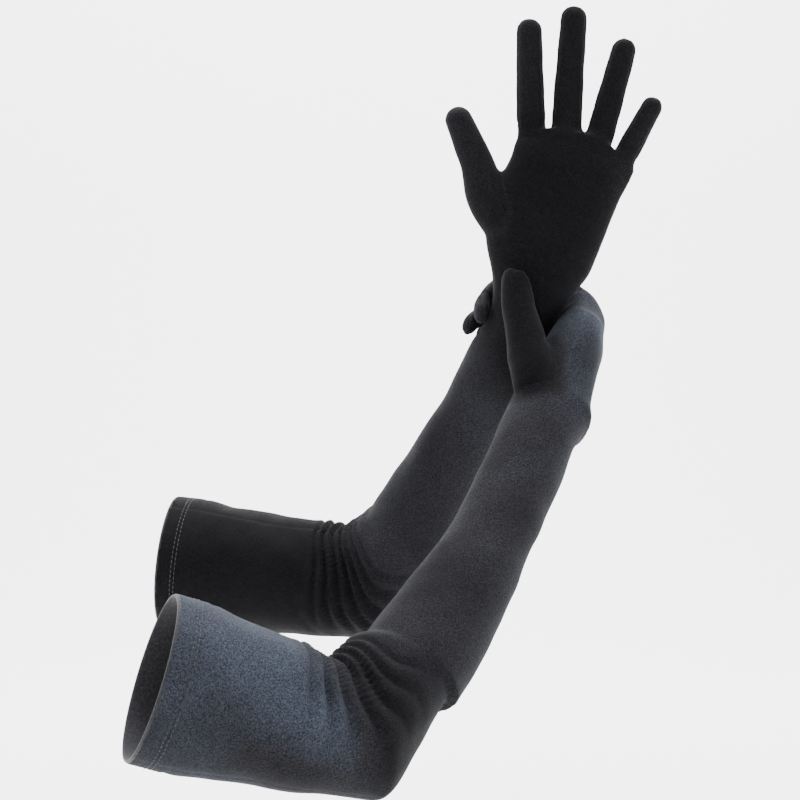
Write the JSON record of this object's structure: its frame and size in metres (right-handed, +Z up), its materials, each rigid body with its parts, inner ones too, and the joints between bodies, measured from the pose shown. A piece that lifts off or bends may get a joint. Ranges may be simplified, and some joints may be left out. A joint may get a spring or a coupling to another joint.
{
  "type": "opera gloves",
  "caption": "Elbow-length stretch velvet gloves as worn on bent arms: an open hand, its wrist held by the other glove's hand.",
  "frame": {"origin": "centre of the left glove's cuff, on its mouth", "axes": "+Z up along the open hand, +X from the cuffs towards the hands, -Y the side the open palm faces"},
  "size_m": [0.3173, 0.4184, 0.442],
  "materials": {
    "velvet": "stretch velvet pile, soft sheen",
    "lining": "matt knitted back of the velvet",
    "thread": "satin polyester thread"
  },
  "bodies": {
    "left_upper_sleeve": {"left_hem_facing": "lining", "left_hem_stitching": "thread", "left_upper_front": "velvet", "left_upper_back": "velvet", "left_elbow_gathers": "velvet"},
    "left_forearm": {"left_forearm_front": "velvet", "left_forearm_back": "velvet", "left_wrist_gathers": "velvet"},
    "left_hand": {"left_palm_panel": "velvet", "left_back_panel": "velvet"},
    "left_thumb": {"left_thumb_panel": "velvet"},
    "left_index_finger": {"left_index_front": "velvet", "left_index_back": "velvet", "left_index_fourchette": "velvet"},
    "left_middle_finger": {"left_middle_front": "velvet", "left_middle_back": "velvet", "left_middle_thumb_side_fourchette": "velvet", "left_middle_little_side_fourchette": "velvet"},
    "left_ring_finger": {"left_ring_front": "velvet", "left_ring_back": "velvet", "left_ring_thumb_side_fourchette": "velvet", "left_ring_little_side_fourchette": "velvet"},
    "left_little_finger": {"left_little_front": "velvet", "left_little_back": "velvet", "left_little_fourchette": "velvet"},
    "right_upper_sleeve": {"right_hem_facing": "lining", "right_hem_stitching": "thread", "right_upper_front": "velvet", "right_upper_back": "velvet", "right_elbow_gathers": "velvet"},
    "right_forearm": {"right_forearm_front": "velvet", "right_forearm_back": "velvet", "right_wrist_gathers": "velvet"},
    "right_hand": {"right_palm_panel": "velvet", "right_back_panel": "velvet"},
    "right_thumb": {"right_thumb_panel": "velvet"},
    "right_index_finger": {"right_index_front": "velvet", "right_index_back": "velvet", "right_index_fourchette": "velvet"},
    "right_middle_finger": {"right_middle_front": "velvet", "right_middle_back": "velvet", "right_middle_thumb_side_fourchette": "velvet", "right_middle_little_side_fourchette": "velvet"},
    "right_ring_finger": {"right_ring_front": "velvet", "right_ring_back": "velvet", "right_ring_thumb_side_fourchette": "velvet", "right_ring_little_side_fourchette": "velvet"},
    "right_little_finger": {"right_little_front": "velvet", "right_little_back": "velvet", "right_little_fourchette": "velvet"}
  },
  "joints": [
    {"name": "left_elbow_bend", "type": "hinge", "parent": "left_upper_sleeve", "child": "left_forearm", "pos_m": [0.13847, -0.01455, -0.01463], "axis": [-0.1421, -0.8608, -0.4887], "range_deg": [-60, 28], "deforming": ["left_elbow_gathers"]},
    {"name": "left_wrist_bend", "type": "hinge", "parent": "left_forearm", "child": "left_hand", "pos_m": [0.23069, -0.13259, 0.16644], "axis": [0.9759, 0, -0.2181], "range_deg": [-1, 6], "deforming": ["left_wrist_gathers"]},
    {"name": "left_thumb_bend", "type": "hinge", "parent": "left_hand", "child": "left_thumb", "pos_m": [0.22091, -0.14897, 0.19991], "axis": [0.9139, 0, 0.406], "range_deg": [0, 25]},
    {"name": "left_index_bend", "type": "hinge", "parent": "left_hand", "child": "left_index_finger", "pos_m": [0.2313, -0.14027, 0.26815], "axis": [0.9997, 0, 0.0244], "range_deg": [0, 75]},
    {"name": "left_middle_bend", "type": "hinge", "parent": "left_hand", "child": "left_middle_finger", "pos_m": [0.25236, -0.14027, 0.26703], "axis": [0.998, 0, -0.0628], "range_deg": [0, 75]},
    {"name": "left_ring_bend", "type": "hinge", "parent": "left_hand", "child": "left_ring_finger", "pos_m": [0.27175, -0.14027, 0.26116], "axis": [0.9632, 0, -0.2689], "range_deg": [0, 75]},
    {"name": "left_little_bend", "type": "hinge", "parent": "left_hand", "child": "left_little_finger", "pos_m": [0.28578, -0.14027, 0.24694], "axis": [0.878, 0, -0.4787], "range_deg": [0, 75]},
    {"name": "grip_slide", "type": "slide", "parent": "left_forearm", "child": "right_hand", "axis": [-0.3298, 0.5067, -0.7965], "range_m": [0, 0.004]},
    {"name": "right_wrist_bend", "type": "hinge", "parent": "right_hand", "child": "right_forearm", "pos_m": [0.23572, -0.17265, 0.09715], "axis": [-0.3165, 0.6269, -0.7119], "range_deg": [-6, 6], "deforming": ["right_wrist_gathers"]},
    {"name": "right_elbow_bend", "type": "hinge", "parent": "right_forearm", "child": "right_upper_sleeve", "pos_m": [0.13077, -0.30698, -0.06461], "axis": [-0.3514, 0.8196, -0.4526], "range_deg": [-60, 25], "deforming": ["right_elbow_gathers"]},
    {"name": "right_thumb_open", "type": "hinge", "parent": "right_hand", "child": "right_thumb", "pos_m": [0.23148, -0.18002, 0.11621], "axis": [0.7665, -0.5241, 0.3711], "range_deg": [0, 30]},
    {"name": "right_index_open", "type": "hinge", "parent": "right_hand", "child": "right_index_finger", "pos_m": [0.26196, -0.10443, 0.17535], "axis": [-0.3781, 0.6291, -0.6791], "range_deg": [0, 45]},
    {"name": "right_middle_open", "type": "hinge", "parent": "right_hand", "child": "right_middle_finger", "pos_m": [0.2546, -0.09456, 0.16554], "axis": [-0.3165, 0.6269, -0.7119], "range_deg": [0, 45]},
    {"name": "right_ring_open", "type": "hinge", "parent": "right_hand", "child": "right_ring_finger", "pos_m": [0.24814, -0.08506, 0.15571], "axis": [-0.3165, 0.6269, -0.7119], "range_deg": [0, 45]},
    {"name": "right_little_open", "type": "hinge", "parent": "right_hand", "child": "right_little_finger", "pos_m": [0.24764, -0.07633, 0.14353], "axis": [-0.3165, 0.6269, -0.7119], "range_deg": [0, 45]}
  ]
}
